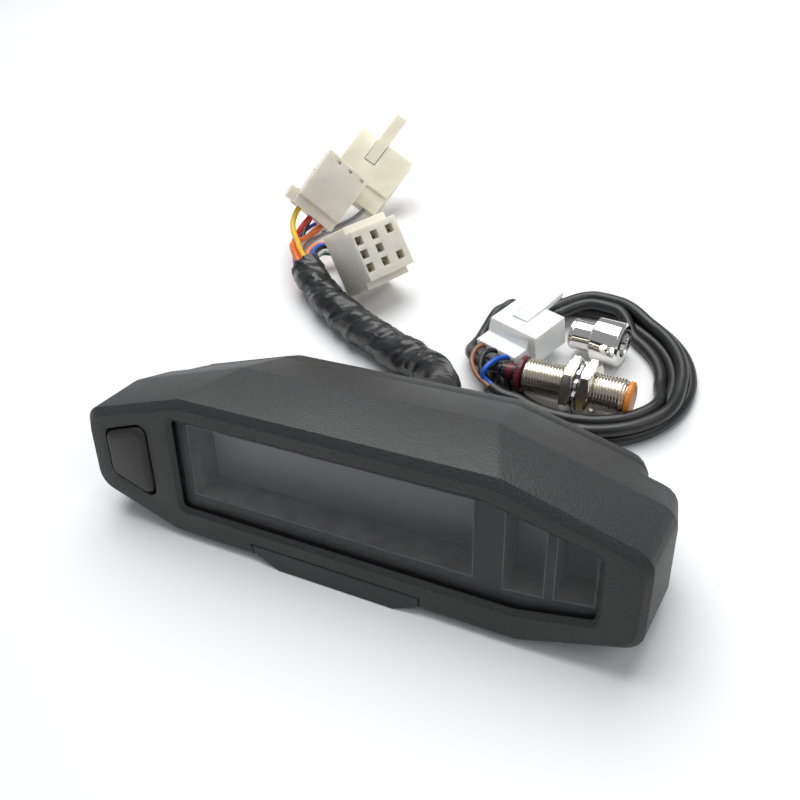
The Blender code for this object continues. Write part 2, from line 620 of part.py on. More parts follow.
def build_flat_connector(b, name, place, width, side, slot, rows=1):
    """Flat three-column housing: mating end at local Y = 0, wires at the other end."""
    hold = b.empty(f"{name}_frame", world(place[0]), frame_of(*place[1:]))
    body = side_body(b, name, hold, side, -width / 2, width / 2, slot)
    back, step = side[0]
    floor = side[-1][1]
    for i in range(3):
        for row in range(rows):
            x = (i - 1) * width * 0.3
            z = floor / 2 + (row - (rows - 1) / 2) * 3.9
            boolean(body, b.tool(block((x - 2.0, -7, z - 1.0), (x + 2.0, 1, z + 1.0)), hold))
            z = (floor + step) / 2 + (row - (rows - 1) / 2) * 3.4
            boolean(body, b.tool(cylinder(1.1, back - 1, back + 5, (x, z), 8), hold))
    return hold, body


def build_latch(b, name, hold, body, slot, x, half, pivot_y, side):
    """Latch arm on two trunnions, let into a slot of the housing's outer face."""
    floor, axis_z = -2.4, -1.3
    back, tip = min(y for y, _ in side), max(y for y, _ in side)
    low, high = min(back - 0.5, -30) if back < -24 else back - 0.5, tip + 1
    wide = half + 0.35
    boolean(body, b.tool(block((x - wide, low, floor), (x + wide, high, 6.0)), hold))
    reach = half + 1.5
    hole = rod((x - reach, pivot_y, axis_z), (x + reach, pivot_y, axis_z), 0.85, 12)
    boolean(body, b.tool(hole, hold))
    pivot = b.empty(f"{name}_pivot", (x, pivot_y, axis_z), parent=hold)
    shape = [(y - pivot_y, z - axis_z) for y, z in side]
    arm = side_body(b, name, pivot, shape, -half, half, slot)
    pin = rod((-half - 1.0, 0, 0), (half + 1.0, 0, 0), 0.55, 12)
    boolean(arm, b.tool(pin, pivot), "UNION")


def build_harness(b):
    tube(b, "harness_sleeve", SLEEVE_ROUTE, SLEEVE_D, "tape", 4, 0.7)
    tube(b, "wires_nine_way", NINE_WIRES, 5.6, "wires", 3, 1.0)
    tube(b, "wires_three_way", THREE_WIRES, 3.8, "wires", 2, 1.5)
    tube(b, "wires_six_way", SIX_WIRES, 5.0, "wires", 3, 1.2)
    build_nine_way(b)
    hold, body = build_flat_connector(b, "connector_three_way", (THREE_AT, THREE_X, THREE_Y),
                                      THREE_WIDTH, THREE_SIDE, "nylon")
    for x in (-4.6, 1.6, 7.8):
        boolean(body, b.tool(block((x - 1.0, -2.7, -3.6), (x + 1.0, -1.4, 1)), hold))
    flank = Matrix(((0, 0, -1), (0, 1, 0), (1, 0, 0))).to_quaternion()
    beside = b.empty("three_way_flank", (-THREE_WIDTH / 2, 0, 0), flank, hold)
    side = ((-27.4, 3.6), (-22.0, 4.3), (-21.0, 0.2), (-11.0, 0.2), (-11.0, -1.9), (-27.0, -1.9))
    build_latch(b, "latch_three_way", beside, body, "nylon", -5.0, 2.0, -15.0, side)
    hold, body = build_flat_connector(b, "connector_six_way", (SIX_AT, SIX_X, SIX_Y), SIX_WIDTH,
                                      SIX_SIDE, "nylon", 2)
    side = ((-11.0, 0.2), (14.4, 0.8), (15.0, 0.0), (14.6, -1.4), (-1.0, -1.9), (-11.0, -1.9))
    build_latch(b, "latch_six_way", hold, body, "nylon", -2.3, 2.5, -7.0, side)


# --------------------------------------------------------------- sensor kit

def build_sensor(b):
    along = Vector((math.cos(SENSOR_YAW), math.sin(SENSOR_YAW), 0))
    turn = along.to_track_quat("Z", "X")
    rear = world((*SENSOR_REAR, SENSOR_H))
    axis = b.empty("sensor_axis", rear, turn)
    barrel = ((0.0, 35.0), (5.3, 35.0), (SENSOR_R, 34.4), (SENSOR_R, 1.5), (5.3, 0.9), (0.0, 0.9))
    turned(b, "sensor_barrel", barrel, "nickel", axis, 24)
    cap = ((0.0, 36.8), (4.4, 36.8), (5.4, 36.3), (5.6, 35.3), (0.0, 35.3))
    turned(b, "sensor_cap", cap, "orange", axis, 24)
    ring = ((0.0, 0.6), (6.2, 0.6), (6.2, -0.5), (5.8, -0.9), (0.0, -0.9))
    turned(b, "sensor_end_ring", ring, "maroon", axis, 24)
    gland = ((0.0, -1.2), (3.6, -1.2), (3.6, -1.9), (2.8, -2.4), (2.6, -7.0), (0.0, -7.0))
    turned(b, "sensor_gland", gland, "rubber", axis, 16)
    corner = NUT_AF / 2 / math.cos(math.radians(30))
    for name, s0 in (("nut_rear", 15.2), ("nut_front", 20.8)):
        nut = b.add(name, rod((0, 0, s0), (0, 0, s0 + 4.0), corner, 6), "nickel", axis)
        dome = rod((0, 0, s0 - 0.5), (0, 0, s0 + 4.5), 9.45, 24)
        boolean(nut, b.tool(dome, axis), "INTERSECT")
        boolean(nut, b.tool(rod((0, 0, s0 - 1), (0, 0, s0 + 5), SENSOR_R + GAP, 24), axis))
    teeth = []
    for i in range(36):
        radius = 8.45 if i % 3 else 7.5
        teeth.append(Vector((radius * math.cos(math.tau * i / 36), radius * math.sin(math.tau * i / 36))))
    rings = [[Vector((p.x, p.y, s)) for p in teeth] for s in (19.5, 20.5)]
    washer = b.add("lock_washer", loft(rings), "steel", axis)
    boolean(washer, b.tool(rod((0, 0, 19), (0, 0, 21), SENSOR_R + GAP, 24), axis))


def coil_place(angle, offset):
    """Place on the coil: angle clockwise from its left side, offset inwards from the outer strand."""
    way = Vector((-math.cos(angle), math.sin(angle)))
    c, s = math.cos(COIL_TURN), math.sin(COIL_TURN)
    along, across = (way.x * c + way.y * s) / COIL_SEMI[0], (way.y * c - way.x * s) / COIL_SEMI[1]
    return Vector(COIL_AT) + way * (1 / math.hypot(along, across) - offset)


def ease(value, low, high):
    t = min(max((value - low) / (high - low), 0.0), 1.0)
    return t * t * (3 - 2 * t)


def mix(start, end, amount):
    return start + (end - start) * amount


def build_coil(b):
    """The coiled lead as one ring: two strands high, one under the plug, and spread at its right."""
    bm = bmesh.new()
    loops = []
    for i in range(60):
        degrees = -120 + 6 * i
        flat = ease(degrees, -84, -68) * (1 - ease(degrees, 46, 76))
        wide = ease(degrees, -68, -24) * (1 - ease(degrees, 46, 76))
        beside = ease(degrees, -42, -22) * (1 - ease(degrees, 38, 62))
        right = ease(degrees, 104, 130) * (1 - ease(degrees, 186, 207))
        top = mix(COIL_HIGH, COIL_LOW, flat) - right
        inner = mix(COIL_INNER, COIL_INNER_LOW, wide) + right * (COIL_INNER_RIGHT - COIL_INNER)
        outer = mix(COIL_OUTER, COIL_OUTER_LOW, beside)
        cut = 1.2
        shape = ((outer, cut), (outer + cut, 0.1), (inner - cut, 0.1), (inner, cut),
                 (inner, top - cut), (inner - cut, top), (outer + cut, top), (outer, top - cut))
        loop = []
        for offset, z in shape:
            place = coil_place(math.radians(degrees), offset)
            loop.append(bm.verts.new(world((place.x, place.y, z)) * MM))
        loops.append(loop)
    for i, near in enumerate(loops):
        far = loops[(i + 1) % len(loops)]
        for k in range(8):
            j = (k + 1) % 8
            bm.faces.new((near[k], near[j], far[j], far[k]))
    b.add("sensor_coil", finish_mesh(bm), "cable")


def build_lead(b):
    tube(b, "sensor_lead", LEAD_ROUTE, LEAD_D, "cable", 3, 1.1)
    tube(b, "lead_tail", TAIL_ROUTE, LEAD_D, "cable", 3, 1.0)
    tube(b, "plug_wires", PLUG_WIRES, PLUG_WIRES_D, "wires", 2, 1.0)
    build_coil(b)
    hold, body = build_flat_connector(b, "sensor_plug", (PLUG_AT, PLUG_X, PLUG_Y), PLUG_WIDTH,
                                      PLUG_SIDE, "white_nylon")
    boolean(body, b.tool(block((7.4, -30, -12), (12, -15.4, 1)), hold))
    side = ((-9.5, 0.2), (-1.0, 0.4), (9.4, 1.2), (9.8, 0.4), (9.0, -0.6), (-1.0, -1.9),
            (-9.5, -1.9))
    build_latch(b, "latch_plug", hold, body, "white_nylon", -1.5, 3.0, -5.5, side)


def build_adapter(b):
    """Plated drive piece: a spigot, a wider collar, and a bore in the large end."""
    along = Vector((math.cos(ADAPTER_YAW), math.sin(ADAPTER_YAW), 0))
    axis = b.empty("adapter_axis", world((*ADAPTER_AT, ADAPTER_H)), along.to_track_quat("Z", "X"))
    r, end = ADAPTER_R, ADAPTER_LENGTH
    profile = ((4.0, end), (r - 0.8, end), (r, end - 0.8), (r, 8.9), (r - 0.9, 8.0), (5.2, 8.0),
               (5.2, 1.6), (5.4, 1.4), (5.4, 0.5), (4.9, 0.0), (0.0, 0.0), (0.0, 7.0), (4.0, 7.0))
    turned(b, "drive_adapter", profile, "chrome", axis, 32)


def main():
    clear_scene()
    b = Builder()
    up = Matrix.Rotation(-LEAN, 3, "X").to_quaternion()
    lift = STAND * math.cos(LEAN)
    back = STAND * math.sin(LEAN)
    frame = b.empty("cluster_frame", world((0, back, lift)), up)
    build_front_housing(b, frame)
    build_trim(b, frame)
    build_display(b, frame)
    build_board(b, frame)
    build_button(b, frame)
    build_rear_cover(b, frame)
    build_seal(b, frame)
    build_fixings(b, frame)
    build_grommet(b, frame)
    build_harness(b)
    build_sensor(b)
    build_lead(b)
    build_adapter(b)


main()
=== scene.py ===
"""Looks of the instrument cluster: its housing and display, taped harness, connectors,
speed sensor on a coiled lead, and chromed drive adapter."""

import math

import bmesh
import bpy
from mathutils import Matrix, Vector, noise

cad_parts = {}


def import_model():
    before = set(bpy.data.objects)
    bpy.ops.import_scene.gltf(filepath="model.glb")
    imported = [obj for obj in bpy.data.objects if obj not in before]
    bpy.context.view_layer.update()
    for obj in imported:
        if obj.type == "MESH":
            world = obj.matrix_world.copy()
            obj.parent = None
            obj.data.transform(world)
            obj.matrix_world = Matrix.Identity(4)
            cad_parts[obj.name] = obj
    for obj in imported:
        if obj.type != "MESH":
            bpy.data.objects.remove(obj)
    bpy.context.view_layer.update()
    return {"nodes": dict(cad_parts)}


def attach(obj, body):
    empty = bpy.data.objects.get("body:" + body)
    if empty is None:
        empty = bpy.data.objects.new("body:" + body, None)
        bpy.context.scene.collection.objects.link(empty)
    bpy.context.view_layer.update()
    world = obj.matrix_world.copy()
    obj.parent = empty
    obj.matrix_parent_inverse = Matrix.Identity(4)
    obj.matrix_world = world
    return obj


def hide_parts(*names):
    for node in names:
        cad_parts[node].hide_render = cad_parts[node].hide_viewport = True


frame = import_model()

MM = 0.001
ORIGIN_Y = 32.9                # depth of the model's origin on the layout's own scale
LEAN = math.radians(16.0)
STAND = 24.34
BODY = "cluster"

# Camera, on the layout's scale
CAMERA_AT = (101.5, -103.8, 187.1)
CAMERA_RIGHT, CAMERA_UP = (0.891, 0.430, -0.142), (-0.193, 0.643, 0.740)
CAMERA_LENS = 37.1

# Windows of the film, on the face
WINDOWS = (
    ((-47.7, -8.9), (40.7, -8.9), (40.7, 14.5), (-47.7, 14.5)),
    ((48.7, -9.8), (59.4, -8.9), (59.4, 12.4), (48.7, 14.3)),
    ((61.8, -8.4), (71.9, -7.0), (71.9, 9.2), (61.8, 11.7)),
)
LINE_Y, LINE_WIDTH, LINE_DEPTH = 3.4, 0.22, 0.3

# Harness, routes repeated from the part
SLEEVE_D = 13.4
SLEEVE_ROUTE = (
    (4.0, 65.6, 14.6), (4.0, 70.4, 13.2), (0.5, 78.6, 9.6), (-7.5, 86.5, 7.2), (-18.6, 91.5, 6.9),
    (-32.0, 96.8, 6.9), (-48.0, 104.6, 6.9), (-63.0, 114.2, 6.9), (-75.5, 124.0, 7.6),
    (-83.0, 131.0, 9.0),
)
NINE_WIRES = ((-80.0, 129.0, 9.0), (-81.3, 134.0, 10.0), (-84.7, 138.2, 10.2), (-84.6, 145.4, 9.2),
              (-78.6, 148.4, 7.2), (-71.6, 144.2, 7.0), (-67.6, 140.4, 8.4), (-63.1, 138.3, 11.0))
THREE_WIRES = ((-80.8, 126.8, 10.4), (-84.9, 130.5, 12.8), (-91.0, 136.5, 13.2),
               (-97.0, 144.5, 11.4), (-100.0, 151.0, 10.4), (-100.2, 155.6, 11.2),
               (-98.2, 160.0, 13.7))
SIX_WIRES = ((-82.0, 127.0, 7.5), (-86.2, 130.5, 6.5), (-92.5, 137.6, 4.6), (-99.8, 149.0, 3.6),
             (-104.0, 161.0, 3.4), (-101.5, 172.0, 4.0), (-95.5, 178.4, 6.6), (-91.5, 182.4, 9.9))
NINE_WIRE_D, THREE_WIRE_D, SIX_WIRE_D = 1.9, 2.4, 1.7

# Connector frames, repeated from the part
NINE_AT, NINE_X, NINE_Y = (-44.9, 131.3, 23.8), (0.414, 0.904, -0.102), (-0.788, 0.300, -0.538)
NINE_COLUMNS, NINE_ROWS = (-8.9, -1.6, 5.7), (5.8, 0.4, -5.0)
NINE_BACK = 21.6
THREE_AT, THREE_X, THREE_Y = (-84.7, 179.7, 30.0), (0.620, 0.202, -0.758), (0.344, 0.798, 0.494)
THREE_WIDTH, THREE_BACK, THREE_MID = 21.2, -27.6, -5.25
SIX_AT, SIX_X, SIX_Y = (-79.4, 205.4, 27.4), (0.823, -0.004, -0.568), (0.304, 0.848, 0.434)
SIX_WIDTH, SIX_BACK, SIX_MID = 27.4, -29.6, -5.4
PLUG_AT, PLUG_X, PLUG_Y = (21.6, 119.9, 15.6), (0.928, -0.372, 0.0), (0.372, 0.928, 0.0)
PLUG_BACK = -22.7

# Speed sensor and its lead, repeated from the part
SENSOR_REAR, SENSOR_YAW, SENSOR_H = (24.3, 91.7), math.radians(-3.4), 8.65
SENSOR_R, SENSOR_PITCH = 5.85, 1.0
BARREL_START, BARREL_END = 0.9, 35.0
NUT_AF, NUT_HEIGHT = 17.0, 4.0
NUT_STARTS = {"nut_rear": 15.2, "nut_front": 20.8}
LEAD_D, LEAD_LENGTH = 4.2, 0.83
PLUG_WIRE_D = 1.7
LEAD_ROUTE = ((16.85, 92.2, 8.65), (12.2, 92.8, 8.4), (7.4, 94.8, 7.8), (3.3, 98.6, 6.9),
              (0.6, 103.8, 4.6), (0.2, 109.4, 2.9), (0.4, 114.7, 2.4))
TAIL_ROUTE = ((24.2, 81.2, 6.8), (20.5, 82.2, 6.8), (16.0, 84.4, 6.9))
PLUG_ROUTE = ((27.0, 80.9, 6.8), (20.5, 82.2, 6.9), (15.2, 84.8, 7.0), (11.4, 86.4, 9.0),
              (8.9, 89.4, 11.3), (8.9, 93.0, 12.4), (10.2, 95.6, 11.6), (11.7, 97.0, 10.2))
COIL_AT, COIL_SEMI, COIL_TURN = (37.9, 108.1), (38.7, 33.3), -0.52
LEFT_OFFSETS = (0.0, 8.4, 4.2, 12.6)
STACK_PLACES = ((0.0, 2.15), (0.2, 6.35), (4.2, 2.15), (4.4, 6.35))
RIGHT_PLACES = ((0.0, 2.15), (2.7, 5.4), (5.4, 2.15), (9.5, 2.2))
COIL_START, COIL_STOP, COIL_STEP = 24, 1376, 6     # degrees round the coil, over all its turns

# Surroundings
TABLE_HALF = 4.0
SKY_STRENGTH = 0.34
LIGHTS = (("key", (-0.2, 0.5, 1.15), 1.3, 17.5), ("fill", (0.8, -0.1, 0.9), 0.7, 2.0))
LIT_PLACE = (0, 0.05, 0)


# ------------------------------------------------------------------------------ small tools
def world(place):
    """A place on the layout's scale, in metres in the shared frame."""
    return Vector((place[0], place[1] - ORIGIN_Y, place[2])) * MM


def axes(at, x, y):
    """Frame of a connector as a matrix, in metres."""
    y = Vector(y).normalized()
    x = Vector(x)
    x = (x - y * x.dot(y)).normalized()
    z = x.cross(y)
    turn = Matrix((x, y, z)).transposed().to_4x4()
    return Matrix.Translation(world(at)) @ turn


def face_axes():
    """Frame of the housing's face: Y into the housing, Z up the leaning face."""
    middle = (0, STAND * math.sin(LEAN), STAND * math.cos(LEAN))
    return Matrix.Translation(world(middle)) @ Matrix.Rotation(-LEAN, 4, "X")


def ease(value, low, high):
    t = min(max((value - low) / (high - low), 0.0), 1.0)
    return t * t * (3 - 2 * t)


def mix(start, end, amount):
    return start + (end - start) * amount


def smooth_line(points, step):
    """Evenly spaced points along a Catmull-Rom curve through the given ones."""
    points = [Vector(p) for p in points]
    ends = [points[0] * 2 - points[1], *points, points[-1] * 2 - points[-2]]
    dense = []
    for a, b, c, d in zip(ends, ends[1:], ends[2:], ends[3:]):
        for i in range(24):
            t = i / 24
            dense.append(0.5 * (2 * b + (c - a) * t + (2 * a - 5 * b + 4 * c - d) * t * t
                                + (3 * b - a - 3 * c + d) * t ** 3))
    dense.append(points[-1])
    total = sum((q - p).length for p, q in zip(dense, dense[1:]))
    count = max(4, round(total / step))
    line, run, k = [], 0.0, 0
    for i in range(count + 1):
        target = total * i / count
        while k < len(dense) - 2 and run + (dense[k + 1] - dense[k]).length < target:
            run += (dense[k + 1] - dense[k]).length
            k += 1
        part = (dense[k + 1] - dense[k]).length
        line.append(dense[k].lerp(dense[k + 1], min(1.0, (target - run) / part)))
    return line


def side_frames(line):
    """Two side directions at each point, carried along without twist."""
    frames, side = [], None
    for i, p in enumerate(line):
        ahead = (line[min(i + 1, len(line) - 1)] - line[max(i - 1, 0)]).normalized()
        if side is None:
            side = Vector((0, 0, 1)).cross(ahead)
            if side.length < 0.1:
                side = Vector((1, 0, 0))
        side = (side - ahead * side.dot(ahead)).normalized()
        frames.append((side, ahead.cross(side)))
    return frames


def link(obj, mat, body=BODY):
    bpy.context.scene.collection.objects.link(obj)
    obj.data.materials.append(mat)
    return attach(obj, body)


def wire(name, line, diameter, mat):
    """A round cord or wire on one open spline."""
    curve = bpy.data.curves.new(name, "CURVE")
    curve.dimensions = "3D"
    curve.bevel_depth = diameter / 2 * MM
    curve.bevel_resolution = 5
    curve.use_fill_caps = True
    spline = curve.splines.new("POLY")
    spline.points.add(len(line) - 1)
    for point, p in zip(spline.points, line):
        point.co = (*world(p), 1)
    spline.use_smooth = True
    return link(bpy.data.objects.new(name, curve), mat)


def mesh_piece(name, bm, mat, matrix=None, sharp=40, body=BODY):
    """Mesh object from a bmesh, placed by a matrix in metres."""
    if matrix is not None:
        bm.transform(matrix)
    bmesh.ops.recalc_face_normals(bm, faces=bm.faces)
    mesh = bpy.data.meshes.new(name)
    bm.to_mesh(mesh)
    bm.free()
    mesh.shade_smooth()
    mesh.set_sharp_from_angle(angle=math.radians(sharp))
    return link(bpy.data.objects.new(name, mesh), mat, body)


def grid(bm, rings, closed=True, caps=True):
    """Skin rings of points, each ring closed round."""
    verts = [[bm.verts.new(p) for p in ring] for ring in rings]
    for near, far in zip(verts, verts[1:]):
        count = len(near)
        for i in range(count if closed else count - 1):
            j = (i + 1) % count
            bm.faces.new((near[i], near[j], far[j], far[i]))
    if caps:
        bm.faces.new(verts[0])
        bm.faces.new(verts[-1])
    return verts


# ------------------------------------------------------------------------------- materials
def shader(name, colour, roughness, metallic=0.0, **sockets):
    """New material with its Principled shader set; returns material, nodes, links, shader."""
    mat = bpy.data.materials.new(name)
    mat.use_nodes = True
    nodes, links = mat.node_tree.nodes, mat.node_tree.links
    bsdf = nodes["Principled BSDF"]
    bsdf.inputs["Base Color"].default_value = (*colour, 1)
    bsdf.inputs["Roughness"].default_value = roughness
    bsdf.inputs["Metallic"].default_value = metallic
    for socket, value in sockets.items():
        bsdf.inputs[socket.replace("_", " ")].default_value = value
    return mat, nodes, links, bsdf


def texture(nodes, links, kind, scale, stretch=(1, 1, 1), **values):
    """Texture node in the model's own coordinates, optionally stretched."""
    coords = nodes.new("ShaderNodeTexCoord")
    mapping = nodes.new("ShaderNodeMapping")
    mapping.inputs["Scale"].default_value = stretch
    node = nodes.new(kind)
    node.inputs["Scale"].default_value = scale
    for socket, value in values.items():
        node.inputs[socket].default_value = value
    links.new(coords.outputs["Object"], mapping.inputs["Vector"])
    links.new(mapping.outputs["Vector"], node.inputs["Vector"])
    return node


def ramp(nodes, links, source, stops, constant=False):
    """Colour ramp of (position, colour) stops."""
    node = nodes.new("ShaderNodeValToRGB")
    node.color_ramp.interpolation = "CONSTANT" if constant else "LINEAR"
    elements = node.color_ramp.elements
    while len(elements) < len(stops):
        elements.new(0.5)
    for element, (position, colour) in zip(elements, stops):
        element.position = position
        element.color = (*colour, 1)
    links.new(source, node.inputs["Fac"])
    return node.outputs["Color"]


def span(nodes, links, source, low, high, to_low, to_high):
    node = nodes.new("ShaderNodeMapRange")
    for socket, value in zip(("From Min", "From Max", "To Min", "To Max"), (low, high, to_low, to_high)):
        node.inputs[socket].default_value = value
    links.new(source, node.inputs["Value"])
    return node.outputs["Result"]


def bump(nodes, links, bsdf, height, strength, distance, base=None):
    node = nodes.new("ShaderNodeBump")
    node.inputs["Strength"].default_value = strength
    node.inputs["Distance"].default_value = distance
    links.new(height, node.inputs["Height"])
    if base is not None:
        links.new(base, node.inputs["Normal"])
    links.new(node.outputs["Normal"], bsdf.inputs["Normal"])
    return node.outputs["Normal"]


def tinted(colour, factor):
    return tuple(min(1.0, c * factor) for c in colour)


def plain(name, colour, roughness, metallic=0.0, variation=0.12, patch=90.0, grain=900.0, depth=0.02,
          rough_range=0.08, **sockets):
    """Material with soft colour patches, uneven gloss and a fine surface."""
    mat, nodes, links, bsdf = shader(name, colour, roughness, metallic, **sockets)
    cloud = texture(nodes, links, "ShaderNodeTexNoise", patch, Detail=4.0)
    tones = ((0.3, tinted(colour, 1 - variation)), (0.7, tinted(colour, 1 + variation)))
    links.new(ramp(nodes, links, cloud.outputs["Fac"], tones), bsdf.inputs["Base Color"])
    rough = span(nodes, links, cloud.outputs["Fac"], 0.3, 0.7,
                 roughness - rough_range, roughness + rough_range)
    links.new(rough, bsdf.inputs["Roughness"])
    fine = texture(nodes, links, "ShaderNodeTexNoise", grain, Detail=3.0)
    bump(nodes, links, bsdf, fine.outputs["Fac"], 0.5, depth * MM)
    return mat


def grained(name, colour, roughness, depth):
    """Moulded leather grain: small raised cells with a finer tooth on them."""
    mat, nodes, links, bsdf = shader(name, colour, roughness)
    cells = texture(nodes, links, "ShaderNodeTexVoronoi", 1500.0)
    tooth = texture(nodes, links, "ShaderNodeTexNoise", 2600.0, Detail=2.0)
    cloud = texture(nodes, links, "ShaderNodeTexNoise", 30.0, Detail=3.0)
    tones = ((0.25, tinted(colour, 0.52)), (0.6, colour), (0.85, tinted(colour, 1.8)))
    links.new(ramp(nodes, links, tooth.outputs["Fac"], tones), bsdf.inputs["Base Color"])
    rough = span(nodes, links, cloud.outputs["Fac"], 0.3, 0.7, roughness - 0.06, roughness + 0.06)
    links.new(rough, bsdf.inputs["Roughness"])
    first = bump(nodes, links, bsdf, cells.outputs["Distance"], 0.6, depth * MM)
    bump(nodes, links, bsdf, tooth.outputs["Fac"], 0.7, depth * MM, first)
    return mat


def nylon(name, colour, depth_mm):
    """Translucent moulded nylon with faint flow marks."""
    mat, nodes, links, bsdf = shader(name, colour, 0.34, Subsurface_Weight=0.55,
                                     Subsurface_Scale=depth_mm * MM)
    bsdf.inputs["Subsurface Radius"].default_value = (1.0, 0.85, 0.55)
    flow = texture(nodes, links, "ShaderNodeTexNoise", 60.0, (1, 1, 2.5), Detail=4.0)
    tones = ((0.3, tinted(colour, 0.9)), (0.7, tinted(colour, 1.04)))
    links.new(ramp(nodes, links, flow.outputs["Fac"], tones), bsdf.inputs["Base Color"])
    links.new(span(nodes, links, flow.outputs["Fac"], 0.3, 0.7, 0.28, 0.42), bsdf.inputs["Roughness"])
    bump(nodes, links, bsdf, flow.outputs["Fac"], 0.4, 0.06 * MM)
    return mat


def lens_glass():
    """Smoked window: mostly clear, glossier where it is seen at a low angle."""
    mat, nodes, links, bsdf = shader("smoked_window", (0.052, 0.053, 0.056), 0.06, Coat_Weight=0.3)
    edge = nodes.new("ShaderNodeLayerWeight")
    edge.inputs["Blend"].default_value = 0.35
    haze = texture(nodes, links, "ShaderNodeTexNoise", 45.0, (1, 1, 3), Detail=5.0)
    links.new(span(nodes, links, haze.outputs["Fac"], 0.3, 0.7, 0.05, 0.09), bsdf.inputs["Roughness"])
    links.new(span(nodes, links, edge.outputs["Facing"], 0.0, 1.0, 0.16, 0.42), bsdf.inputs["Alpha"])
    mat.surface_render_method = "BLENDED"
    return mat


def display_painted_reflection():
    """Grey display with a painted reflection: pale towards its upper left, darker towards its lower edge."""
    mat, nodes, links, bsdf = shader("display_painted_reflection", (0.2, 0.22, 0.22), 0.3)
    coords = nodes.new("ShaderNodeTexCoord")
    split = nodes.new("ShaderNodeSeparateXYZ")
    links.new(coords.outputs["Object"], split.inputs["Vector"])
    total = nodes.new("ShaderNodeMath")
    total.operation = "MULTIPLY_ADD"
    total.inputs[1].default_value = -0.18
    links.new(split.outputs["X"], total.inputs[0])
    links.new(split.outputs["Z"], total.inputs[2])
    low, high = 8 * MM, 48 * MM
    place = span(nodes, links, total.outputs["Value"], low, high, 0.0, 1.0)
    # Painted reflection and shade: the base colour runs from dark at the lower right to pale at the upper
    # left, where the display reflects the light.
    tones = ((0.0, (0.21, 0.22, 0.225)), (0.4, (0.42, 0.46, 0.465)), (1.0, (0.78, 0.86, 0.85)))
    links.new(ramp(nodes, links, place, tones), bsdf.inputs["Base Color"])
    pattern = texture(nodes, links, "ShaderNodeTexNoise", 700.0, Detail=2.0)
    links.new(span(nodes, links, pattern.outputs["Fac"], 0.3, 0.7, 0.27, 0.33), bsdf.inputs["Roughness"])
    return mat


def banded(name, at, along, stops, roughness):
    """Turned piece whose colour changes along its axis; stops are (distance in mm, colour)."""
    mat, nodes, links, bsdf = shader(name, stops[0][1], roughness)
    coords = nodes.new("ShaderNodeTexCoord")
    shift = nodes.new("ShaderNodeVectorMath")
    shift.operation = "SUBTRACT"
    shift.inputs[1].default_value = at
    links.new(coords.outputs["Object"], shift.inputs[0])
    dot = nodes.new("ShaderNodeVectorMath")
    dot.operation = "DOT_PRODUCT"
    dot.inputs[1].default_value = along
    links.new(shift.outputs["Vector"], dot.inputs[0])
    end = stops[-1][0]
    place = span(nodes, links, dot.outputs["Value"], 0.0, end * MM, 0.0, 1.0)
    bands = [(distance / end, colour) for distance, colour in stops[:-1]]
    links.new(ramp(nodes, links, place, bands, True), bsdf.inputs["Base Color"])
    fine = texture(nodes, links, "ShaderNodeTexNoise", 900.0, Detail=3.0)
    bump(nodes, links, bsdf, fine.outputs["Fac"], 0.3, 0.03 * MM)
    links.new(span(nodes, links, fine.outputs["Fac"], 0.3, 0.7, roughness - 0.08, roughness + 0.08),
              bsdf.inputs["Roughness"])
    return mat


def tape_vinyl():
    """Glossy wrapped tape with fine creases."""
    mat, nodes, links, bsdf = shader("wrapped_tape", (0.013, 0.013, 0.014), 0.3)
    crease = texture(nodes, links, "ShaderNodeTexNoise", 110.0, (1.0, 1.6, 2.2), Detail=3.0, Distortion=0.8)
    fine = texture(nodes, links, "ShaderNodeTexNoise", 1200.0, Detail=2.0)
    tones = ((0.35, (0.010, 0.010, 0.011)), (0.75, (0.03, 0.03, 0.032)))
    links.new(ramp(nodes, links, crease.outputs["Fac"], tones), bsdf.inputs["Base Color"])
    links.new(span(nodes, links, crease.outputs["Fac"], 0.3, 0.7, 0.24, 0.38), bsdf.inputs["Roughness"])
    first = bump(nodes, links, bsdf, crease.outputs["Fac"], 0.4, 0.25 * MM)
    bump(nodes, links, bsdf, fine.outputs["Fac"], 0.25, 0.05 * MM, first)
    return mat


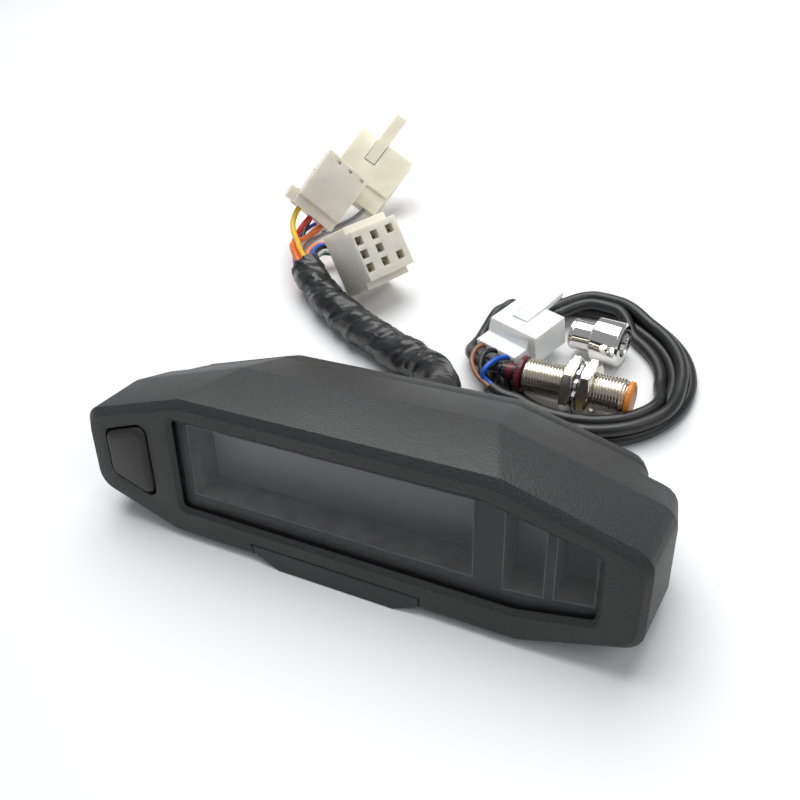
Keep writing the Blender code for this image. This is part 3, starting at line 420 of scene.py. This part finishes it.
MATERIALS = {
    "housing": grained("housing_grain", (0.026, 0.0265, 0.0275), 0.5, 0.14),
    "trim": grained("trim_grain", (0.032, 0.033, 0.034), 0.48, 0.05),
    "button": grained("button_satin", (0.020, 0.018, 0.018), 0.5, 0.03),
    "film": plain("printed_film", (0.030, 0.030, 0.032), 0.4, variation=0.06, grain=300.0, depth=0.002),
    "frame": plain("display_tunnel", (0.24, 0.24, 0.24), 0.45, variation=0.3, patch=120.0, depth=0.005),
    "hairline": plain("cut_film_edge", (0.30, 0.31, 0.31), 0.4, variation=0.3, patch=200.0),
    "lens": lens_glass(),
    "display": display_painted_reflection(),
    "light": plain("light_guide_acrylic", (0.75, 0.78, 0.78), 0.2, variation=0.04),
    "board": plain("solder_mask", (0.01, 0.13, 0.05), 0.3),
    "chip": plain("moulded_chip", (0.02, 0.02, 0.02), 0.5),
    "steel": plain("zinc_plated_steel", (0.6, 0.6, 0.62), 0.3, 1.0, grain=600.0),
    "nickel": plain("nickel_plate", (0.74, 0.70, 0.62), 0.2, 1.0, variation=0.06, rough_range=0.05,
                    grain=500.0),
    "chrome": plain("polished_chrome", (0.80, 0.79, 0.77), 0.07, 1.0, variation=0.04, rough_range=0.02,
                    patch=60.0, grain=260.0, depth=0.008),
    "brass": plain("turned_brass", (0.75, 0.55, 0.22), 0.3, 1.0),
    "contact": plain("tinned_contact", (0.72, 0.62, 0.42), 0.25, 1.0),
    "rubber": plain("black_rubber", (0.02, 0.02, 0.02), 0.65, grain=700.0, depth=0.05),
    "cable": plain("cable_jacket", (0.017, 0.017, 0.018), 0.36, variation=0.2, grain=500.0, depth=0.04),
    "tape": tape_vinyl(),
    "nylon": nylon("natural_nylon", (0.83, 0.80, 0.70), 3.0),
    "warm_nylon": nylon("yellowed_nylon", (0.84, 0.80, 0.64), 3.0),
    "white_nylon": nylon("white_nylon", (0.86, 0.88, 0.90), 3.0),
    "orange": plain("orange_cap", (0.80, 0.27, 0.02), 0.3, variation=0.1),
    "maroon": plain("maroon_ring", (0.13, 0.012, 0.018), 0.35),
}
WIRE_COLOURS = {
    "yellow": (0.75, 0.50, 0.02), "red": (0.55, 0.015, 0.012), "amber": (0.70, 0.15, 0.02),
    "blue": (0.01, 0.12, 0.62), "green": (0.005, 0.16, 0.08), "salmon": (0.85, 0.25, 0.08),
    "white": (0.75, 0.75, 0.72), "black": (0.015, 0.015, 0.016), "brown": (0.28, 0.12, 0.06),
    "violet": (0.10, 0.02, 0.16), "grey": (0.25, 0.25, 0.26),
}
WIRE_MATERIALS = {
    name: plain(f"insulation_{name}", colour, 0.32, variation=0.1, grain=800.0, depth=0.02)
    for name, colour in WIRE_COLOURS.items()
}

NODE_LOOKS = {
    "front_housing": "housing", "rear_cover": "housing", "lower_trim": "trim", "housing_seal": "rubber",
    "lens": "lens", "lens_gasket": "rubber", "window_mask": "film", "display_frame": "frame",
    "lcd_main": "display", "lcd_side": "display", "backlight_panel": "light", "circuit_board": "board",
    "microcontroller": "chip", "capacitor": "steel", "board_header": "nylon", "micro_switch": "chip",
    "mount_insert_left": "brass", "mount_insert_right": "brass", "harness_grommet": "rubber",
    "mode_button": "button", "switch_plunger": "button", "connector_nine_way": "nylon",
    "connector_three_way": "nylon", "connector_six_way": "warm_nylon", "latch_three_way": "nylon",
    "latch_six_way": "warm_nylon", "latch_plug": "white_nylon", "sensor_plug": "white_nylon",
    "sensor_cap": "orange", "sensor_end_ring": "maroon", "lock_washer": "steel",
    "drive_adapter": "chrome",
}
# Radius and steepest unrounded edge for nodes whose edges are rounded
ROUNDED = {
    "front_housing": (0.9, 14), "rear_cover": (0.7, 20), "lower_trim": (0.5, 18), "mode_button": (0.2, 30),
    "connector_nine_way": (0.45, 40), "connector_three_way": (0.6, 30), "connector_six_way": (0.6, 30),
    "sensor_plug": (0.6, 30), "latch_three_way": (0.3, 30), "latch_six_way": (0.4, 30),
    "latch_plug": (0.3, 30), "drive_adapter": (0.15, 30), "display_frame": (0.15, 60),
}


def dress_nodes():
    """Give every CAD node its material, and round the moulded edges."""
    for name, node in frame["nodes"].items():
        look = NODE_LOOKS.get(name, "steel" if "screw" in name else None)
        if look is None:
            continue
        node.data.materials.clear()
        node.data.materials.append(MATERIALS[look])
        if name in ROUNDED:
            radius, angle = ROUNDED[name]
            weld = node.modifiers.new("weld", "WELD")
            weld.merge_threshold = 0.00001
            flat = node.modifiers.new("flat", "DECIMATE")
            flat.decimate_type = "DISSOLVE"
            flat.angle_limit = math.radians(0.6)
            edge = node.modifiers.new("edge", "BEVEL")
            edge.width = radius * MM
            edge.segments = 3
            edge.limit_method = "ANGLE"
            edge.angle_limit = math.radians(angle)
            edge.harden_normals = True
            node.data.shade_smooth()


def build_window_lines():
    """Thin bright cut edges of the film round its windows."""
    place = face_axes()
    for number, window in enumerate(WINDOWS, 1):
        bm = bmesh.new()
        count = len(window)
        loops = []
        for i, (x, z) in enumerate(window):
            before, after = Vector(window[i - 1]), Vector(window[(i + 1) % count])
            here = Vector((x, z))
            inward = ((before - here).normalized() + (after - here).normalized()).normalized()
            loop = [here + inward * d for d in (-0.05, LINE_WIDTH)]
            loops.append([Vector((p.x, y, p.y)) * MM for p, y in
                          ((loop[0], LINE_Y), (loop[1], LINE_Y),
                           (loop[1], LINE_Y + LINE_DEPTH), (loop[0], LINE_Y + LINE_DEPTH))])
        grid(bm, [*loops, loops[0]], caps=False)
        bmesh.ops.remove_doubles(bm, verts=bm.verts, dist=0.000001)
        piece = mesh_piece(f"window_line_{number}", bm, MATERIALS["hairline"], place)


# ----------------------------------------------------------------------------------- harness
def build_sleeve():
    """Wrapped tape: helical laps, a few deep folds and a ribbed stretch near the housing."""
    line = smooth_line(SLEEVE_ROUTE, 0.55)
    frames = side_frames(line)
    around, radius = 72, SLEEVE_D / 2 - 0.35
    bm = bmesh.new()
    rings, s = [], 0.0
    for i, (p, (side, up)) in enumerate(zip(line, frames)):
        s += (p - line[i - 1]).length if i else 0.0
        ring = []
        for k in range(around):
            angle = math.tau * k / around
            direction = side * math.cos(angle) + up * math.sin(angle)
            near = 1 - ease(s, 16, 30)
            lap = (s / 12.5 + angle / math.tau) % 1.0
            rib = (s / 2.3 + 0.5 * angle / math.tau) % 1.0
            r = radius + 0.55 * (1 - near) * (ease(lap, 0.0, 0.12) - lap) + 0.12 * near * (0.5 - rib)
            wound = angle + s * 0.11
            q = Vector((s * 0.075, 0.85 * math.cos(wound), 0.85 * math.sin(wound)))
            fold = noise.noise(q * 1.3)
            crease = 1 - abs(noise.noise(q * 1.9 + Vector((5, 1, 2))))
            small = noise.noise(Vector((s * 0.3, 2.2 * math.cos(wound), 2.2 * math.sin(wound))))
            r += (1 - 0.75 * near) * (1.5 * fold + 0.6 * (crease ** 7 - 0.3) + 0.12 * small)
            r = min(r, SLEEVE_D / 2 + 0.5)
            place = p + direction * r
            place.z = max(place.z, 0.15)
            ring.append(world(place))
        rings.append(ring)
    grid(bm, rings)
    sleeve = mesh_piece("taped_sleeve", bm, MATERIALS["tape"], sharp=70)
    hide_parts("harness_sleeve")


def bundle(prefix, route, colours, starts, ends, diameter, node):
    """Wires that leave the sleeve side by side and spread to their ways in a connector."""
    core = smooth_line(route, 0.8)
    frames = side_frames(core)
    for i, colour in enumerate(colours):
        last_side, last_up = frames[-1]
        goal = ends[i] - core[-1]
        finish = (goal.dot(last_side), goal.dot(last_up))
        begin = starts[i % len(starts)]
        ahead = goal - last_side * finish[0] - last_up * finish[1]
        points = []
        for k, p in enumerate(core):
            t = k / (len(core) - 1)
            share = ease(t, 0.45, 1.0)
            a = mix(begin[0], finish[0], share)
            b = mix(begin[1], finish[1], share)
            lift = 0.5 * math.sin(math.pi * t) * math.sin(2.4 * i)
            side, up = frames[k]
            q = p + side * (a + lift) + up * (b + 0.6 * lift) + ahead * share
            q.z = max(q.z, diameter / 2 + 0.1)
            points.append(q)
        thinned = points[::2] + [points[-1]] * (len(points) % 2 == 0)
        piece = wire(f"{prefix}_wire_{i + 1}", thinned, diameter, WIRE_MATERIALS[colour])
    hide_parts(node)


def in_frame(matrix, x, y, z):
    """Layout-scale place of a point given in a connector's frame, in mm."""
    p = matrix @ (Vector((x, y, z)) * MM) / MM
    return Vector((p.x, p.y + ORIGIN_Y, p.z))


def build_harness():
    build_sleeve()
    nine = axes(NINE_AT, NINE_X, NINE_Y)
    three = axes(THREE_AT, THREE_X, THREE_Y)
    six = axes(SIX_AT, SIX_X, SIX_Y)
    ways = [(column, row) for column in range(3) for row in range(3) if (column, row) != (2, 1)]
    ends = [in_frame(nine, NINE_COLUMNS[c] * 0.75, NINE_BACK - 1.0, NINE_ROWS[r] * 0.85) for c, r in ways]
    ring = [(1.9 * math.cos(math.tau * i / 7), 1.9 * math.sin(math.tau * i / 7)) for i in range(7)] + [(0, 0)]
    bundle("nine", NINE_WIRES, ("green", "salmon", "blue", "black", "white", "green", "salmon", "violet"),
           ring, ends, NINE_WIRE_D, "wires_nine_way")
    ends = [in_frame(three, i * THREE_WIDTH * 0.3, THREE_BACK + 1.0, THREE_MID) for i in (-1, 0, 1)]
    row = ((-1.5, 0.4), (0.2, -0.4), (1.7, 0.6))
    bundle("three", THREE_WIRES, ("yellow", "red", "amber"), row, ends, THREE_WIRE_D,
           "wires_three_way")
    ends = [in_frame(six, i * SIX_WIDTH * 0.3, SIX_BACK + 1.0, SIX_MID + d)
            for d in (-1.7, 1.7) for i in (-1, 0, 1)]
    ring = [(1.7 * math.cos(math.tau * i / 6), 1.5 * math.sin(math.tau * i / 6)) for i in range(6)]
    bundle("six", SIX_WIRES, ("red", "blue", "white", "black", "amber", "grey"), ring, ends, SIX_WIRE_D,
           "wires_six_way")
    build_contacts(nine, ways)


def build_contacts(nine, ways):
    """Folded receptacle contacts inside the nine-way housing."""
    bm = bmesh.new()
    for column, row in ways:
        x, z = NINE_COLUMNS[column], NINE_ROWS[row]
        sheets = (((-1.15, -1.25), (-0.95, 0.9)), ((-1.15, 0.7), (0.5, 0.9)), ((-0.9, -1.25), (0.75, -1.05)),
                  ((0.55, -1.05), (0.75, -0.2)), ((-0.5, -0.3), (0.2, -0.1)))
        for (x0, z0), (x1, z1) in sheets:
            box = bmesh.ops.create_cube(bm, size=1.0)["verts"]
            size = Vector((x1 - x0, 6.0, z1 - z0))
            middle = Vector((x + (x0 + x1) / 2, 4.2, z + (z0 + z1) / 2))
            for v in box:
                v.co = Vector(a * b for a, b in zip(v.co, size)) + middle
    for v in bm.verts:
        v.co *= MM
    piece = mesh_piece("nine_way_contacts", bm, MATERIALS["contact"], nine, 30)


# -------------------------------------------------------------------------------- sensor kit
def coil_place(angle, offset):
    """Place on the coil: angle clockwise from its left side, offset inwards from the outer strand."""
    way = Vector((-math.cos(angle), math.sin(angle)))
    c, s = math.cos(COIL_TURN), math.sin(COIL_TURN)
    along, across = (way.x * c + way.y * s) / COIL_SEMI[0], (way.y * c - way.x * s) / COIL_SEMI[1]
    return Vector(COIL_AT) + way * (1 / math.hypot(along, across) - offset)


def strand(turn, degrees):
    """Offset and height of one turn of the lead, for degrees from -104 to 256."""
    stack, right, left = STACK_PLACES[turn], RIGHT_PLACES[turn], LEFT_OFFSETS[turn]
    if degrees < 42:
        offset, z = STACK_PLACES[turn - 1]
        if turn == 2:
            z = mix(z, 2.15, ease(degrees, -90, -66))
            offset = mix(offset, 0.0, ease(degrees, -90, -66))
            offset = mix(offset, left, ease(degrees, -60, -22))
        else:
            offset = mix(offset, offset + 4.2, ease(degrees, -104, -78))
            offset = mix(offset, left, ease(degrees, -64, -24))
        return offset, z
    up = ease(degrees, 42, 58) if turn in (1, 3) else 0.0
    offset = mix(left, stack[0], ease(degrees, 52, 86))
    z = mix(2.15, stack[1], up)
    spread = ease(degrees, 100, 130) * (1 - ease(degrees, 184, 214))
    return mix(offset, right[0], spread), mix(z, right[1], spread)


def lead_line():
    """The whole lead: from the gland over the coil's left, nearly four turns, and its tail."""
    points = [Vector(p) for p in LEAD_ROUTE]
    for whole in range(COIL_START, COIL_STOP + 1, COIL_STEP):
        turn = (whole + 104) // 360
        degrees = whole - 360 * turn
        if turn > 3:
            turn, degrees = 3, degrees + 360
        offset, z = strand(turn, degrees)
        place = coil_place(math.radians(degrees), offset)
        wander = 0.22 * noise.noise(Vector((whole * 0.021, 3.7 * turn, 0.5)))
        points.append(Vector((place.x + wander, place.y - wander, max(z, 2.12))))
    points += [Vector(p) for p in TAIL_ROUTE[1:]]
    return points


def build_lead():
    line = smooth_line(lead_line(), 1.1)
    lead = wire("sensor_cable", line, LEAD_D, MATERIALS["cable"])
    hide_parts("sensor_lead", "sensor_coil", "lead_tail")
    plug = axes(PLUG_AT, PLUG_X, PLUG_Y)
    for i, (colour, x) in enumerate((("brown", -6.3), ("black", -0.6), ("blue", 5.0))):
        core = smooth_line(PLUG_ROUTE, 0.7)
        goal = in_frame(plug, x, PLUG_BACK + 1.5, -6.9)
        start = (Vector((0, -0.75, 0.3)), Vector((0, 0.0, -0.7)), Vector((0, 0.75, 0.3)))[i]
        bow = (Vector((-1.9, 1.6, -2.2)), Vector((0.2, 1.2, 0.6)), Vector((1.6, -1.8, 0.8)))[i]
        points = []
        for k, p in enumerate(core):
            t = k / (len(core) - 1)
            points.append(p + start * (1 - ease(t, 0.4, 0.9)) + bow * math.sin(math.pi * ease(t, 0.42, 1.0))
                          + (goal - core[-1]) * ease(t, 0.5, 1.0))
        points.append(goal + in_frame(plug, 0, 1.5, 0) - in_frame(plug, 0, 0, 0))
        piece = wire(f"plug_wire_{colour}", points, PLUG_WIRE_D, WIRE_MATERIALS[colour])
    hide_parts("plug_wires")


def sensor_axes():
    along = Vector((math.cos(SENSOR_YAW), math.sin(SENSOR_YAW), 0))
    turn = along.to_track_quat("Z", "X").to_matrix().to_4x4()
    return Matrix.Translation(world((*SENSOR_REAR, SENSOR_H))) @ turn, along


def build_thread(place):
    """Threaded barrel: a helical ridge that fades into a chamfer at both ends."""
    bm = bmesh.new()
    around, low, high = 72, BARREL_START, BARREL_END
    steps = round((high - low) / 0.1)
    rings = []
    for i in range(steps + 1):
        s = low + (high - low) * i / steps
        end = min(s - low, high - s)
        ring = []
        for k in range(around):
            turn = k / around
            phase = (s / SENSOR_PITCH - turn) % 1.0
            ridge = min(1.0, max(0.0, 1.35 - 3.1 * abs(phase - 0.5)))
            fade = ease(end, 0.3, 1.4)
            r = SENSOR_R - 0.6 + 0.6 * ridge * fade - 0.35 * (1 - ease(end, 0.0, 0.8))
            ring.append(Vector((r * math.cos(math.tau * turn), r * math.sin(math.tau * turn), s)) * MM)
        rings.append(ring)
    grid(bm, rings)
    barrel = mesh_piece("threaded_barrel", bm, MATERIALS["nickel"], place, 50)
    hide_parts("sensor_barrel")


def build_nut(name, start, place):
    """Hexagon nut whose corners are turned off in curved chamfers on both faces."""
    bm = bmesh.new()
    around, half = 96, NUT_AF / 2
    heights = (0.0, 0.12, 0.3, 0.55, 0.85, 1.2, NUT_HEIGHT - 1.2, NUT_HEIGHT - 0.85, NUT_HEIGHT - 0.55,
               NUT_HEIGHT - 0.3, NUT_HEIGHT - 0.12, NUT_HEIGHT)
    rings = []
    for h in heights:
        from_face = min(h, NUT_HEIGHT - h)
        ring = []
        for k in range(around):
            angle = math.tau * k / around
            off = (angle + math.pi / 6) % (math.pi / 3) - math.pi / 6
            hexagon = half / math.cos(off)
            r = min(hexagon, half - 0.25 + from_face * 1.9)
            ring.append(Vector((r * math.cos(angle), r * math.sin(angle), start + h)) * MM)
        rings.append(ring)
    turns = [math.tau * k / around for k in range(around)]
    bore = [[Vector((r * math.cos(turn), r * math.sin(turn), s)) * MM for turn in turns]
            for r, s in ((SENSOR_R + 0.9, start + NUT_HEIGHT), (SENSOR_R + 0.1, start + NUT_HEIGHT - 0.8),
                         (SENSOR_R + 0.1, start + 0.8), (SENSOR_R + 0.9, start))]
    grid(bm, [*rings, *bore, rings[0]], caps=False)
    bmesh.ops.remove_doubles(bm, verts=bm.verts, dist=0.000001)
    nut = mesh_piece(f"{name}_chamfered", bm, MATERIALS["nickel"], place, 24)
    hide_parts(name)


def build_sensor():
    place, along = sensor_axes()
    build_thread(place)
    for name, start in NUT_STARTS.items():
        build_nut(name, start, place)
    rear = world((*SENSOR_REAR, SENSOR_H)) - along * 7.0 * MM
    dark, red = (0.018, 0.017, 0.018), (0.16, 0.012, 0.016)
    gland = frame["nodes"]["sensor_gland"]
    gland.data.materials.clear()
    stops = ((0.0, dark), (1.6, red), (3.6, dark), (4.6, red), (6.0, dark))
    gland.data.materials.append(banded("banded_gland", rear, along, stops, 0.35))


# -------------------------------------------------------------------------------- surroundings
def build_stage():
    """White table and soft studio light."""
    scene = bpy.context.scene
    bm = bmesh.new()
    bmesh.ops.create_grid(bm, x_segments=1, y_segments=1, size=TABLE_HALF)
    mesh = bpy.data.meshes.new("table")
    bm.to_mesh(mesh)
    bm.free()
    table = bpy.data.objects.new("table", mesh)
    scene.collection.objects.link(table)
    table.data.materials.append(plain("white_table", (0.86, 0.86, 0.865), 0.5, variation=0.01, patch=4.0))
    scene.world = bpy.data.worlds.new("studio")
    scene.world.use_nodes = True
    background = scene.world.node_tree.nodes["Background"]
    background.inputs["Color"].default_value = (0.96, 0.98, 1.0, 1)
    background.inputs["Strength"].default_value = SKY_STRENGTH
    for name, at, size, power in LIGHTS:
        light = bpy.data.lights.new(name, "AREA")
        light.shape = "DISK"
        light.size = size
        light.energy = power
        lamp = bpy.data.objects.new(name, light)
        lamp.location = at
        lamp.rotation_mode = "QUATERNION"
        lamp.rotation_quaternion = (Vector(LIT_PLACE) - Vector(at)).to_track_quat("-Z", "Y")
        scene.collection.objects.link(lamp)
    scene.view_settings.view_transform = "Standard"


def build_camera():
    data = bpy.data.cameras.new("camera")
    data.lens = CAMERA_LENS
    data.sensor_width = 36.0
    camera = bpy.data.objects.new("camera", data)
    right, up = Vector(CAMERA_RIGHT).normalized(), Vector(CAMERA_UP)
    up = (up - right * up.dot(right)).normalized()
    turn = Matrix((right, up, right.cross(up))).transposed().to_4x4()
    camera.matrix_world = Matrix.Translation(world(CAMERA_AT)) @ turn
    data.clip_start, data.clip_end = 0.01, 20.0
    bpy.context.scene.collection.objects.link(camera)
    bpy.context.scene.camera = camera


build_camera()
dress_nodes()
build_window_lines()
build_harness()
build_lead()
build_sensor()
build_stage()

bpy.context.view_layer.update()
